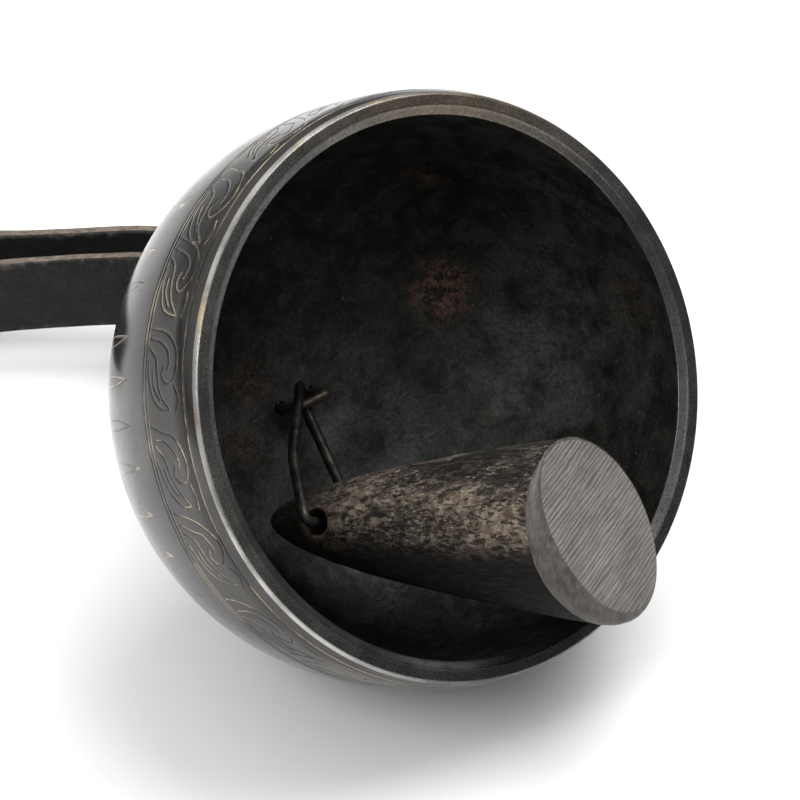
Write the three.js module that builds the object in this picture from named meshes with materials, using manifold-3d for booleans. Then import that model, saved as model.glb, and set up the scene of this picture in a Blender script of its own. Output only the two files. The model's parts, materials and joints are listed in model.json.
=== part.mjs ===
// A singing bowl rigged as a hanging hand bell, lying on its side.
// Units are millimetres and +Z is up.
//
// Everything is first built in the bell's own frame: +Z runs from the crown to
// the mouth, the rim plane is z = 0, and +X is the level line through the two
// crown holes. The last section lays the bell down and sets it on the floor.

import * as THREE from 'three';
import { mergeVertices } from 'three/addons/utils/BufferGeometryUtils.js';
import ManifoldModule from 'manifold-3d';

const wasm = await ManifoldModule();
wasm.setup();

const degrees = THREE.MathUtils.degToRad;
const vector = (x, y, z) => new THREE.Vector3(x, y, z);

// ---------------------------------------------------------------- dimensions

const touchGap = 0.3;             // clearance between pieces that touch

const bowl = {
  radius: 51.1,                   // widest outside radius
  height: 57.5,                   // rim plane to crown
  shoulder: 6.4,                  // rim plane down to the widest ring
  fullness: 2.8,                  // exponent of the curve from shoulder to crown
  wall: 4.2,
  mouthRadius: 46.2,
  mouthChamfer: 1.5,              // grey chamfer inside the rim face
  mouthChamferDepth: 0.9,
  rimEdge: 1.2,                   // width of the rounded outer rim edge
};

const staple = {
  wireRadius: 0.9,
  halfSpacing: 3.3,               // centre line of each leg from the bell's axis
  barStandOff: 6.6,               // inside crown to the centre line of the bar
  archStandOff: 9,                // outside crown to the centre line of the arch
  buttShare: 0.45,                // the wire's ends meet at this share of the way down
  bend: 1.8,
};

const loop = {
  wireRadius: 0.95,
  legClearance: 1.9,              // horn surface to the surface of each leg
  bend: 3,
  bow: vector(-0.65, 1.3, -1.45), // how far the near leg bows out of its straight run
  front: vector(-4.2, 2.2, 0.45), // corners at the bar, beyond bare clearance of it
  over: vector(-1.6, 1.75, 0.1),
  back: vector(-0.9, -0.6, -0.9),
};

const clapper = {
  length: 62.2,                   // narrow tip to the middle of the sawn face
  wideRadius: 16.2,
  taper: 0.52,                    // radius grows as (distance from tip) ^ taper
  holeFromTip: 11.8,
  holeRadius: 2.2,
  bevelReach: 13,                 // face centre to the start of the bevel
};

const link = {
  wireRadius: 1,
  reach: 9,                       // centre line to centre line, arch bar to strap bar
  bend: 2.4,
  buttShare: 0.55,                // the wire's ends meet at this share of the reach
  strapSlack: 0.5,                // free width at each side of the strap
};

const strap = {
  width: 15,
  thickness: 2.6,
  straight: 25,                   // from the link to the start of the bend
  bendRadius: 17,
  bendTurn: degrees(80),
  reach: 113,                     // along the middle line, link to far turn
  openHalfGap: 4.4,               // middle line to each strand past the bend
  handHalfGap: 8,                 // and in the hand loop
  foldEnd: 2,                     // along the middle line, where each strand leaves the fold
  lapStart: 6,
  lapEnd: 21,
  lapFadeEnd: 36,                 // the outer layer has eased back in by here
  openEnd: 44,                    // the strands have parted by here
  handStart: 62,
  handEnd: 104,
};

const rivet = {
  shankRadius: 1.4,
  headRadius: 3.6,
  headThickness: 1,
  headRimShare: 0.45,             // height of the head's edge, as a share of its thickness
  headTopShare: 0.75,             // radius of its flat top, as a share of its radius
  burrRadius: 3.2,
  burrThickness: 0.9,
};

// How the bell lies: the mouth looks up and to the right of the viewer.
const mouthTilt = degrees(35.6);  // axis above the level
const bellTurn = degrees(39.7);   // axis turned to the right of -Y
const strapDrop = degrees(6);     // fall of the strap from the crown to its far end
const strapTurn = degrees(-30);   // strap turned sideways on its link

// Where the clapper lies, in the bell's frame.
const clapperHole = vector(-13.3, -18.1, -34);
const clapperFace = vector(10.2, -31.4, 9.8);
const clapperHoleFacing = vector(-0.78, 0.34, 0.53);
const sawnFaceNormal = vector(0.4, 0.06, 0.91).normalize();
const bevelNormal = vector(-0.25, -0.2, 0.94).normalize();

const crownInside = bowl.wall - bowl.height;
const holeRadius = staple.wireRadius + touchGap;
const barHeight = crownInside + staple.barStandOff;
const archHeight = -bowl.height - staple.archStandOff;

// ------------------------------------------------------------------- helpers

function toManifold(geometry) {
  const bare = geometry.clone();
  bare.deleteAttribute('normal');
  bare.deleteAttribute('uv');
  const merged = mergeVertices(bare, 1e-4);
  return new wasm.Manifold(new wasm.Mesh({
    numProp: 3,
    vertProperties: Float32Array.from(merged.attributes.position.array),
    triVerts: Uint32Array.from(merged.index.array),
  }));
}

function toGeometry(solid) {
  const mesh = solid.getMesh();
  const geometry = new THREE.BufferGeometry();
  geometry.setAttribute('position', new THREE.BufferAttribute(mesh.vertProperties, 3));
  geometry.setIndex(new THREE.BufferAttribute(mesh.triVerts, 1));
  geometry.computeVertexNormals();
  return geometry;
}

// Turns a profile of [radius, height] points about +Z.
function turned(profile, segments) {
  const points = profile.map(([radius, height]) => new THREE.Vector2(radius, height));
  return new THREE.LatheGeometry(points, segments).rotateX(Math.PI / 2);
}

function rod(radius, length, segments = 16) {
  return turned([[0, -length / 2], [radius, -length / 2], [radius, length / 2], [0, length / 2]],
    segments);
}

// Moves a piece built along +Z so that it points along a direction.
function aimed(direction, position) {
  const turn = new THREE.Quaternion().setFromUnitVectors(vector(0, 0, 1), direction);
  return new THREE.Matrix4().compose(position, turn, vector(1, 1, 1));
}

// A round wire bent through the given corner points.
function wire(corners, wireRadius, bend, steps) {
  const path = new THREE.CurvePath();
  let last = corners[0];
  for (let i = 1; i < corners.length - 1; i += 1) {
    const corner = corners[i];
    const room = 0.5 * Math.min(corner.distanceTo(corners[i - 1]), corner.distanceTo(corners[i + 1]));
    const cut = Math.min(bend, room);
    const before = corner.clone().lerp(corners[i - 1], cut / corner.distanceTo(corners[i - 1]));
    const after = corner.clone().lerp(corners[i + 1], cut / corner.distanceTo(corners[i + 1]));
    path.add(new THREE.LineCurve3(last, before));
    path.add(new THREE.QuadraticBezierCurve3(before, corner, after));
    last = after;
  }
  path.add(new THREE.LineCurve3(last, corners[corners.length - 1]));
  const section = new THREE.Shape();
  section.absarc(0, 0, wireRadius, 0, 2 * Math.PI);
  return new THREE.ExtrudeGeometry(section, { extrudePath: path, steps, curveSegments: 4 });
}

// ---------------------------------------------------------------------- bowl

// Points on the curve from the shoulder ring (step 0) to the crown (last step).
function bowlCurve(radius, depth, steps) {
  const power = 2 / bowl.fullness;
  return Array.from({ length: steps + 1 }, (_, i) => {
    const angle = (i / steps) * (Math.PI / 2);
    const fall = (depth - bowl.shoulder) * Math.sin(angle) ** power;
    return [radius * Math.cos(angle) ** power, -bowl.shoulder - fall];
  });
}

function bowlGeometry() {
  const outside = bowlCurve(bowl.radius, bowl.height, 11).reverse();
  outside[0][0] = 0;
  const rimEdge = [0.5, 1].map((part) => [
    bowl.radius - bowl.rimEdge * part ** 2,
    -bowl.shoulder * (1 - part),
  ]);
  const rim = [
    ...rimEdge,
    [bowl.mouthRadius + bowl.mouthChamfer, 0],
    [bowl.mouthRadius, -bowl.mouthChamferDepth],
  ];
  const inside = bowlCurve(bowl.radius - bowl.wall, bowl.height - bowl.wall, 10);
  inside[inside.length - 1][0] = 0;
  const shell = toManifold(turned([...outside, ...rim, ...inside], 56));
  const holes = [-1, 1].map((side) => toManifold(
    rod(holeRadius, 6 * bowl.wall, 12).translate(side * staple.halfSpacing, 0, -bowl.height),
  ));
  return toGeometry(shell.subtract(holes[0]).subtract(holes[1]));
}

// -------------------------------------------------------------- wire fittings

// One wire through both crown holes, its ends butted beside the arch.
function stapleGeometry() {
  const side = staple.halfSpacing;
  const butt = archHeight + staple.buttShare * staple.archStandOff;
  return wire([
    vector(side, 0, butt - touchGap / 2),
    vector(side, 0, archHeight),
    vector(-side, 0, archHeight),
    vector(-side, 0, barHeight),
    vector(side, 0, barHeight),
    vector(side, 0, butt + touchGap / 2),
  ], staple.wireRadius, staple.bend, 52);
}

const clapperAxis = clapperFace.clone().sub(clapperHole).normalize();
const clapperHoleAxis = clapperHoleFacing.clone()
  .addScaledVector(clapperAxis, -clapperHoleFacing.dot(clapperAxis)).normalize();

function clapperRadius(fromTip) {
  return clapper.wideRadius * (fromTip / clapper.length) ** clapper.taper;
}

// A wire ring hung over the staple's bar, its lower side through the horn.
function loopGeometry() {
  const barCentre = vector(0, 0, barHeight);
  const clear = staple.wireRadius + loop.wireRadius + touchGap;
  const front = vector(0, 0, clear).add(loop.front).add(barCentre);
  const over = vector(0, clear, 0).add(loop.over).add(barCentre);
  const back = vector(0, 0, -clear).add(loop.back).add(barCentre);
  const half = clapperRadius(clapper.holeFromTip) + loop.legClearance + loop.wireRadius;
  const nearEnd = clapperHole.clone().addScaledVector(clapperHoleAxis, half);
  const farEnd = clapperHole.clone().addScaledVector(clapperHoleAxis, -half);
  const butt = clapperHoleAxis.clone().multiplyScalar(touchGap / 2);
  return wire([
    clapperHole.clone().add(butt),
    nearEnd,
    nearEnd.clone().lerp(front, 0.5).add(loop.bow),
    front,
    over,
    back,
    farEnd,
    clapperHole.clone().sub(butt),
  ], loop.wireRadius, loop.bend, 64);
}

// A rectangular wire ring; one long side through the arch, the other in the strap.
function linkGeometry() {
  const half = strap.width / 2 + link.strapSlack + link.wireRadius;
  const nearSide = -(staple.wireRadius + touchGap + link.wireRadius);
  const farSide = nearSide + link.reach;
  const butt = farSide - link.buttShare * link.reach;
  return wire([
    vector(0, butt - touchGap / 2, half),
    vector(0, nearSide, half),
    vector(0, nearSide, -half),
    vector(0, farSide, -half),
    vector(0, farSide, half),
    vector(0, butt + touchGap / 2, half),
  ], link.wireRadius, link.bend, 52);
}

// ------------------------------------------------------------------- clapper

// A sawn horn tip: round narrow end, slanted sawn face with a bevel, cross hole.
function clapperGeometry() {
  const overlength = 12;
  const steps = 13;
  const full = clapper.length + overlength;
  const profile = Array.from({ length: steps + 1 }, (_, i) => {
    const fromTip = full * (i / steps) ** 1.8;
    return [clapperRadius(fromTip), fromTip];
  });
  profile.push([0, full]);
  const tip = clapperHole.clone().addScaledVector(clapperAxis, -clapper.holeFromTip);
  const horn = toManifold(turned(profile, 28).applyMatrix4(aimed(clapperAxis, tip)));
  const bore = toManifold(
    rod(clapper.holeRadius, 4 * clapper.wideRadius, 12)
      .applyMatrix4(aimed(clapperHoleAxis, clapperHole)),
  );
  const face = tip.clone().addScaledVector(clapperAxis, clapper.length);
  const inFace = bevelNormal.clone().projectOnPlane(sawnFaceNormal).normalize();
  const bevelEdge = face.clone().addScaledVector(inFace, clapper.bevelReach);
  const sawn = horn.subtract(bore)
    .trimByPlane(sawnFaceNormal.clone().negate().toArray(), -sawnFaceNormal.dot(face))
    .trimByPlane(bevelNormal.clone().negate().toArray(), -bevelNormal.dot(bevelEdge));
  return toGeometry(sawn);
}

// --------------------------------------------------------------------- strap

// The strap lies in its own flat frame: +Y leads away from the link, +Z is the
// strap's width. The middle line runs between the two strands of the loop.
function middleLine(along) {
  if (along <= strap.straight) {
    return { x: 0, y: along, heading: 0 };
  }
  const turn = Math.min((along - strap.straight) / strap.bendRadius, strap.bendTurn);
  const rest = Math.max(along - strap.straight - strap.bendRadius * strap.bendTurn, 0);
  return {
    x: -strap.bendRadius * (1 - Math.cos(turn)) - rest * Math.sin(turn),
    y: strap.straight + strap.bendRadius * Math.sin(turn) + rest * Math.cos(turn),
    heading: turn,
  };
}

const foldRadius = link.wireRadius + touchGap + strap.thickness / 2;
const lapShift = strap.thickness + touchGap;

function halfGap(along) {
  const { smoothstep } = THREE.MathUtils;
  const opened = smoothstep(along, strap.lapEnd, strap.openEnd);
  const widened = smoothstep(along, strap.handStart, strap.handEnd);
  return foldRadius + opened * (strap.openHalfGap - foldRadius)
    + widened * (strap.handHalfGap - strap.openHalfGap);
}

// A point beside the middle line; positive offsets are on the left.
function beside(along, offset) {
  const { x, y, heading } = middleLine(along);
  return new THREE.Vector2(x - offset * Math.cos(heading), y - offset * Math.sin(heading));
}

// The strip runs from its inner lapped end round the link, out and back again.
function stripLine() {
  const between = (from, to, steps) => Array.from(
    { length: steps + 1 },
    (_, i) => from + ((to - from) * i) / steps,
  );
  const inner = between(strap.lapEnd, strap.foldEnd, 5).map((along) => beside(along, halfGap(along)));
  const fold = between(Math.PI, 2 * Math.PI, 12).map(
    (angle) => new THREE.Vector2(foldRadius * Math.cos(angle), foldRadius * Math.sin(angle)),
  );
  const outward = between(strap.foldEnd, strap.reach, 26)
    .map((along) => beside(along, -halfGap(along)));
  const end = middleLine(strap.reach);
  const farTurn = between(0, Math.PI, 10).slice(1, -1).map((angle) => new THREE.Vector2(
    end.x + strap.handHalfGap * Math.cos(end.heading + angle),
    end.y + strap.handHalfGap * Math.sin(end.heading + angle),
  ));
  const lapped = (along) => {
    const eased = THREE.MathUtils.smoothstep(along, strap.lapEnd + strap.foldEnd, strap.lapFadeEnd);
    return lapShift * (1 - eased);
  };
  const back = between(strap.reach, strap.lapStart, 30).map(
    (along) => beside(along, halfGap(along) + lapped(along)),
  );
  return [...inner, ...fold, ...outward, ...farTurn, ...back];
}

function strapGeometry() {
  const line = stripLine();
  const sideways = line.map((point, i) => {
    const before = line[Math.max(i - 1, 0)];
    const after = line[Math.min(i + 1, line.length - 1)];
    const run = after.clone().sub(before).normalize();
    return new THREE.Vector2(-run.y, run.x).multiplyScalar(strap.thickness / 2);
  });
  const oneFace = line.map((point, i) => point.clone().add(sideways[i]));
  const otherFace = line.map((point, i) => point.clone().sub(sideways[i])).reverse();
  const outline = new THREE.Shape([...otherFace, ...oneFace]);
  const band = new THREE.ExtrudeGeometry(outline, { depth: strap.width, bevelEnabled: false })
    .translate(0, 0, -strap.width / 2);
  const punched = rod(rivet.shankRadius + touchGap, 4 * lapShift, 12)
    .applyMatrix4(aimed(vector(-1, 0, 0), lapCentre()));
  return toGeometry(toManifold(band).subtract(toManifold(punched)));
}

// ----------------------------------------------------------- rivet and burr

// Middle of the two lapped layers, where the rivet goes through.
function lapCentre() {
  const along = (strap.lapStart + strap.lapEnd) / 2;
  const { x, y } = beside(along, halfGap(along) + lapShift / 2);
  return vector(x, y, 0);
}

const lapHalf = strap.thickness + touchGap / 2;

// Head on the outside of the lap, shank through both layers.
function rivetGeometry() {
  const headFace = lapHalf + touchGap;
  const shankEnd = -(lapHalf + 2 * touchGap + rivet.burrThickness);
  const profile = [
    [0, shankEnd],
    [rivet.shankRadius, shankEnd],
    [rivet.shankRadius, headFace],
    [rivet.headRadius, headFace],
    [rivet.headRadius, headFace + rivet.headRimShare * rivet.headThickness],
    [rivet.headTopShare * rivet.headRadius, headFace + rivet.headThickness],
    [0, headFace + rivet.headThickness],
  ];
  return turned(profile, 20).applyMatrix4(aimed(vector(-1, 0, 0), lapCentre()));
}

// The washer the shank is peened over, on the inside of the lap.
function burrGeometry() {
  const top = -(lapHalf + touchGap);
  const bottom = top - rivet.burrThickness;
  const bore = rivet.shankRadius + touchGap;
  const profile = [
    [bore, bottom],
    [rivet.burrRadius, bottom],
    [rivet.burrRadius, top],
    [bore, top],
    [bore, bottom],
  ];
  return turned(profile, 20).applyMatrix4(aimed(vector(-1, 0, 0), lapCentre()));
}

// ------------------------------------------------------------------ materials

const metal = (color, roughness) => new THREE.MeshStandardMaterial({
  color, roughness, metalness: 0.9,
});
const soft = (color, roughness) => new THREE.MeshStandardMaterial({
  color, roughness, metalness: 0,
});

// ------------------------------------------------------------------- assembly

// The bell's frame laid down: its +X stays level, its +Z points out of the mouth.
function bellFrame() {
  const mouth = vector(
    Math.cos(mouthTilt) * Math.sin(bellTurn),
    -Math.cos(mouthTilt) * Math.cos(bellTurn),
    Math.sin(mouthTilt),
  );
  const level = vector(Math.cos(bellTurn), Math.sin(bellTurn), 0);
  return new THREE.Matrix4().makeBasis(level, mouth.clone().cross(level), mouth);
}

// The link's frame: +X along the arch bar, +Y away from the bell, +Z its long side.
function linkFrame() {
  const lean = mouthTilt - strapDrop;
  const turn = new THREE.Matrix4().makeBasis(
    vector(1, 0, 0),
    vector(0, Math.sin(lean), -Math.cos(lean)),
    vector(0, Math.cos(lean), Math.sin(lean)),
  );
  return new THREE.Matrix4().makeTranslation(0, 0, archHeight).multiply(turn);
}

function strapFrame() {
  const farSide = link.reach - (staple.wireRadius + touchGap + link.wireRadius);
  return linkFrame()
    .multiply(new THREE.Matrix4().makeTranslation(0, farSide, 0))
    .multiply(new THREE.Matrix4().makeRotationZ(strapTurn));
}

function build() {
  const bell = bellFrame();
  const onLink = bell.clone().multiply(linkFrame());
  const onStrap = bell.clone().multiply(strapFrame());
  const pieces = [
    ['bowl', bowlGeometry(), bell, metal(0x5c5954, 0.35)],
    ['crown_staple', stapleGeometry(), bell, metal(0x4a443d, 0.5)],
    ['clapper_loop', loopGeometry(), bell, metal(0x2c2b29, 0.5)],
    ['clapper', clapperGeometry(), bell, soft(0x4b443c, 0.75)],
    ['strap_link', linkGeometry(), onLink, metal(0x4a443d, 0.5)],
    ['strap', strapGeometry(), onStrap, soft(0x262422, 0.8)],
    ['strap_rivet', rivetGeometry(), onStrap, metal(0x7a4b33, 0.4)],
    ['rivet_burr', burrGeometry(), onStrap, metal(0x7a4b33, 0.45)],
  ];
  const group = new THREE.Group();
  for (const [name, geometry, frame, material] of pieces) {
    const mesh = new THREE.Mesh(geometry.applyMatrix4(frame), material);
    mesh.name = name;
    group.add(mesh);
  }
  const box = new THREE.Box3().setFromObject(group, true);
  const centre = box.getCenter(vector(0, 0, 0));
  for (const mesh of group.children) {
    mesh.geometry.translate(-centre.x, -centre.y, -box.min.z);
  }
  return group;
}

export default build();
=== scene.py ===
"""The look of a singing bowl rigged as a hand bell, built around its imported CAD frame.

Sizes are in millimetres, as in the CAD source, and become metres when a mesh is made.
The bell's own frame has +Z from the crown to the mouth, the rim plane at z = 0, and +X
along the level line through the two crown holes.
"""

import json
from math import copysign, cos, pi, radians, sin, tau

import bpy
import numpy as np
from mathutils import Matrix, Vector, kdtree, noise


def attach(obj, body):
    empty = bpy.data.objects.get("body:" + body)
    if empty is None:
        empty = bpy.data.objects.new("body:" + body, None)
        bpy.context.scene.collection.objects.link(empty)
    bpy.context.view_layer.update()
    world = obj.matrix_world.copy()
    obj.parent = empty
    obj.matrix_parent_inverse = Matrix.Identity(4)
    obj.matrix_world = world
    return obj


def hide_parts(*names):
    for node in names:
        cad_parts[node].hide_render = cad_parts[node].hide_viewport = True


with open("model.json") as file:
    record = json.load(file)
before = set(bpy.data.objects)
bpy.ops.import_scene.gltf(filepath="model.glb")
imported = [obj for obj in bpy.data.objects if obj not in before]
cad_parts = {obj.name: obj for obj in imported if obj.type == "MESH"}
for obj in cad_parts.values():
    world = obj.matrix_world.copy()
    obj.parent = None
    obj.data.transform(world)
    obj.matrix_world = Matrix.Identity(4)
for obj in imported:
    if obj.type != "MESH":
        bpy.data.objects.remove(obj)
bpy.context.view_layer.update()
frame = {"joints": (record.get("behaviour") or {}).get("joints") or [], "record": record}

MM = 0.001
rng = np.random.default_rng(7)

# ---- dimensions

TOUCH_GAP = 0.3

BOWL_RADIUS = 51.1
BOWL_HEIGHT = 57.5
SHOULDER = 6.4
FULLNESS = 2.8
WALL = 4.2
RIM_TAPER = 1.2  # the wall leans in by this much from shoulder to rim
MOUTH_RADIUS = 46.2
MOUTH_CHAMFER = 1.5
MOUTH_CHAMFER_DEPTH = 0.9
EDGE_WIDTH = 0.55  # bevel at the outer edge of the rim
EDGE_DEPTH = 0.92
EDGE_FLATNESS = 1.6  # 1 is a quarter round, 2 is a flat bevel

STAPLE_WIRE = 0.9
STAPLE_HALF_SPACING = 3.3
BAR_STAND_OFF = 6.6
ARCH_STAND_OFF = 9
STAPLE_BEND = 1.8
BUTT_SHARE = 0.45

LOOP_WIRE = 0.95
LOOP_LEG_CLEARANCE = 1.9
LOOP_BEND = 3
LOOP_BOW = Vector((-0.65, 1.3, -1.45))  # how far the near leg bows out of its straight run
LOOP_FRONT = Vector((-4.2, 2.2, 0.45))  # corners at the bar, beyond bare clearance of it
LOOP_OVER = Vector((-1.6, 1.75, 0.1))
LOOP_BACK = Vector((-0.9, -0.6, -0.9))

CLAPPER_LENGTH = 62.2
CLAPPER_RADIUS = 16.2
CLAPPER_TAPER = 0.52
HOLE_FROM_TIP = 11.8
HOLE_RADIUS = 2.2
CLAPPER_HOLE = Vector((-13.3, -18.1, -34))
CLAPPER_FACE = Vector((10.2, -31.4, 9.8))
CLAPPER_HOLE_FACING = Vector((-0.78, 0.34, 0.53))
SAWN_NORMAL = Vector((0.4, 0.06, 0.91)).normalized()
BEVEL_SIDE = Vector((-0.25, -0.2, 0.94))
SAW_RUN = Vector((0.894, 0.189, -0.406))
SAW_PITCH = 0.77

# Painted shade: the floor's paper colour greys towards this distance from the middle of the floor.
FLOOR_FADE = 800  # the floor's paleness is gone at this distance

LINK_WIRE = 1
LINK_REACH = 9
LINK_BEND = 2.4
STRAP_SLACK = 0.5
LINK_BUTT_SHARE = 0.55

STRAP_WIDTH = 15
STRAP_THICKNESS = 2.6
STRAP_STRAIGHT = 25
STRAP_BEND_RADIUS = 17
STRAP_BEND_TURN = radians(80)
STRAP_REACH = 113
STRAP_TURN = radians(-30)
OPEN_HALF_GAP = 4.4
HAND_HALF_GAP = 8
LAP_START = 6
LAP_END = 21

RIVET_SHANK = 1.4
RIVET_HEAD = 3.6
RIVET_HEAD_THICKNESS = 1
BURR_RADIUS = 3.2
BURR_THICKNESS = 0.9

CROWN_INSIDE = WALL - BOWL_HEIGHT
BAR_HEIGHT = CROWN_INSIDE + BAR_STAND_OFF
ARCH_HEIGHT = -BOWL_HEIGHT - ARCH_STAND_OFF

# ---- frames

joints = {joint["name"]: joint for joint in frame["joints"]}
mounts = {mount["name"]: mount for mount in frame["record"]["mounts"]}

out_of_mouth = Vector(mounts["rim_face"]["axis"]).normalized()
level = Vector(joints["link_swing"]["axis"]).normalized()
arch_centre = Vector(joints["link_swing"]["pos_m"])
rim_centre = arch_centre - out_of_mouth * ARCH_HEIGHT * MM


def frame_matrix(x_axis, y_axis, z_axis, origin):
    turn = Matrix((x_axis, y_axis, z_axis)).transposed().to_4x4()
    return Matrix.Translation(origin) @ turn


bell = frame_matrix(level, out_of_mouth.cross(level), out_of_mouth, rim_centre)

link_long = Vector(joints["strap_swing"]["axis"]).normalized()
on_link = frame_matrix(level, link_long.cross(level), link_long, arch_centre)
LINK_NEAR_SIDE = -(STAPLE_WIRE + TOUCH_GAP + LINK_WIRE)
LINK_FAR_SIDE = LINK_NEAR_SIDE + LINK_REACH
on_strap = (on_link @ Matrix.Translation((0, LINK_FAR_SIDE * MM, 0))
            @ Matrix.Rotation(STRAP_TURN, 4, "Z"))

horn_axis = (CLAPPER_FACE - CLAPPER_HOLE).normalized()
hole_axis = (CLAPPER_HOLE_FACING - horn_axis * CLAPPER_HOLE_FACING.dot(horn_axis)).normalized()
horn_in_bell = frame_matrix(hole_axis, horn_axis.cross(hole_axis), horn_axis, CLAPPER_HOLE * MM)
on_horn = bell @ horn_in_bell

# ---- camera

ELEVATION = radians(40)
CAMERA_DISTANCE = 900
FOCAL_LENGTH = 239.8
SENSOR = 36
AIM_ACROSS = -9.25  # from the rim's centre to the middle of the picture
AIM_UP = -2.2


def add_camera():
    across = Vector((1, 0, 0))
    back = Vector((0, -cos(ELEVATION), sin(ELEVATION)))
    up = back.cross(across)
    aim = rim_centre + (across * AIM_ACROSS + up * AIM_UP) * MM
    camera = bpy.data.objects.new("camera", bpy.data.cameras.new("camera"))
    camera.data.lens = FOCAL_LENGTH
    camera.data.sensor_width = SENSOR
    camera.matrix_world = frame_matrix(across, up, back, aim + back * CAMERA_DISTANCE * MM)
    bpy.context.scene.collection.objects.link(camera)
    bpy.context.scene.camera = camera


add_camera()

# ---- materials


def grey(value):
    return (value, value, value)


class Nodes:
    """A node tree, with a short call for each kind of node used here."""

    def __init__(self, tree):
        self.tree = tree

    def feed(self, socket, value):
        if isinstance(value, bpy.types.NodeSocket):
            self.tree.links.new(value, socket)
        elif isinstance(value, tuple) and len(socket.default_value) == 4:
            socket.default_value = (*value, 1)
        else:
            socket.default_value = value

    def node(self, kind, inputs, **settings):
        made = self.tree.nodes.new(kind)
        for name, value in settings.items():
            setattr(made, name, value)
        for name, value in inputs.items():
            self.feed(made.inputs[name], value)
        return made

    def math(self, operation, a, b=0.0):
        return self.node("ShaderNodeMath", {0: a, 1: b}, operation=operation).outputs[0]

    def step(self, value, low, high, to_low=0.0, to_high=1.0):
        """Goes smoothly from to_low to to_high as value goes from low to high."""
        return self.node("ShaderNodeMapRange", {
            "Value": value, "From Min": low, "From Max": high,
            "To Min": to_low, "To Max": to_high,
        }, interpolation_type="SMOOTHSTEP").outputs["Result"]

    def both(self, a, b):
        return self.math("MULTIPLY", a, b)

    def sum(self, a, b):
        return self.math("ADD", a, b)

    def less(self, a, b):
        return self.math("SUBTRACT", a, b)

    def length(self, a, b):
        return self.math("SQRT", self.sum(self.both(a, a), self.both(b, b)))

    def parts(self, vector):
        return self.node("ShaderNodeSeparateXYZ", {0: vector}).outputs


class Paint(Nodes):
    """A material, with the textures that the pieces share; sizes are in millimetres."""

    def __init__(self, name):
        self.material = bpy.data.materials.new(name)
        self.material.use_nodes = True
        super().__init__(self.material.node_tree)
        self.shader = self.tree.nodes["Principled BSDF"]
        self.place = self.node("ShaderNodeAttribute", {}, attribute_name="own_place").outputs["Vector"]

    def mix(self, share, a, b):
        return self.node("ShaderNodeMix", {0: share, 6: a, 7: b}, data_type="RGBA").outputs[2]

    def base(self, share, dark, light):
        """Starts the colour: dark where share is 0, light where it is 1."""
        self.colour = self.mix(share, dark, light)

    def coat(self, share, colour, amount=1.0):
        """Lays a colour over the one so far where share, times amount, is 1."""
        if amount != 1.0:
            share = self.both(share, amount)
        self.colour = self.mix(share, self.colour, colour)

    def vary(self, share, dark, light):
        """Multiplies the colour so far by dark, or by light, as share goes from 0 to 1."""
        self.colour = self.node("ShaderNodeMix", {
            0: 1.0, 6: self.colour, 7: self.mix(share, dark, light),
        }, data_type="RGBA", blend_type="MULTIPLY").outputs[2]

    def stretched(self, x, y, z, place=None):
        """The place, scaled so that one unit is one feature of x, y and z millimetres."""
        scale = (1 / (x * MM), 1 / (y * MM), 1 / (z * MM))
        return self.node("ShaderNodeMapping", {"Vector": place or self.place, "Scale": scale}).outputs[0]

    def cloud(self, size, detail=4.0, roughness=0.55, distortion=0.0):
        """Noise of about the given size in millimetres, from 0 to 1."""
        return self.streaks(self.stretched(size, size, size), detail, roughness, distortion)

    def patch(self, noise_settings, low, high, to_low=0.0, to_high=1.0):
        """Patches: a step of the cloud with the given settings."""
        return self.step(self.cloud(*noise_settings), low, high, to_low, to_high)

    def streaks(self, vector, detail=4.0, roughness=0.55, distortion=0.0):
        return self.node("ShaderNodeTexNoise", {
            "Vector": vector, "Scale": 1.0, "Detail": detail,
            "Roughness": roughness, "Distortion": distortion,
        }).outputs["Fac"]

    def cells(self, size):
        """Distance from the middles of cells of about the given size."""
        return self.node("ShaderNodeTexVoronoi", {
            "Vector": self.stretched(size, size, size), "Scale": 1.0, "Randomness": 1.0,
        }).outputs["Distance"]

    def specks(self, size, low, high, where):
        """Small spots, kept to the patches given by where."""
        return self.both(self.step(self.cells(size), low, high, 1.0, 0.0), self.patch(*where))

    def carried(self, name):
        return self.node("ShaderNodeAttribute", {}, attribute_name=name).outputs["Fac"]

    def along(self, direction):
        """How far the place lies along a direction, in metres."""
        return self.node("ShaderNodeVectorMath", {0: self.place, 1: direction},
                         operation="DOT_PRODUCT").outputs["Value"]

    def near(self, point, reach):
        """1 at a point of the object's frame, in millimetres, falling to 0 at reach."""
        away = self.node("ShaderNodeVectorMath", {0: self.place, 1: Vector(point) * MM},
                         operation="DISTANCE").outputs["Value"]
        return self.step(away, 0.0, reach * MM, 1.0, 0.0)

    def turned_place(self, fine, around):
        """A place that changes fast across a turned surface and slowly round it."""
        parts = self.parts(self.place)
        radius = self.length(parts[0], parts[1])
        lines = [self.both(value, 1 / (fine * MM)) for value in (radius, parts[2])]
        drift = [self.both(value, 1 / (around * MM)) for value in (parts[0], parts[1])]
        return self.node("ShaderNodeCombineXYZ", {
            0: self.sum(lines[0], drift[0]),
            1: self.sum(lines[1], drift[1]),
            2: self.less(drift[0], drift[1]),
        }).outputs[0]

    def bump(self, height, depth):
        """Bumps of the given depth in millimetres."""
        inputs = {"Height": height, "Distance": depth * MM, "Strength": 1.0}
        return self.node("ShaderNodeBump", inputs).outputs[0]

    def finish(self, roughness, metallic, normal, specular=0.5):
        values = {"Base Color": self.colour, "Roughness": roughness, "Metallic": metallic,
                  "Normal": normal, "Specular IOR Level": specular}
        for name, value in values.items():
            self.feed(self.shader.inputs[name], value)
        return self.material


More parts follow.
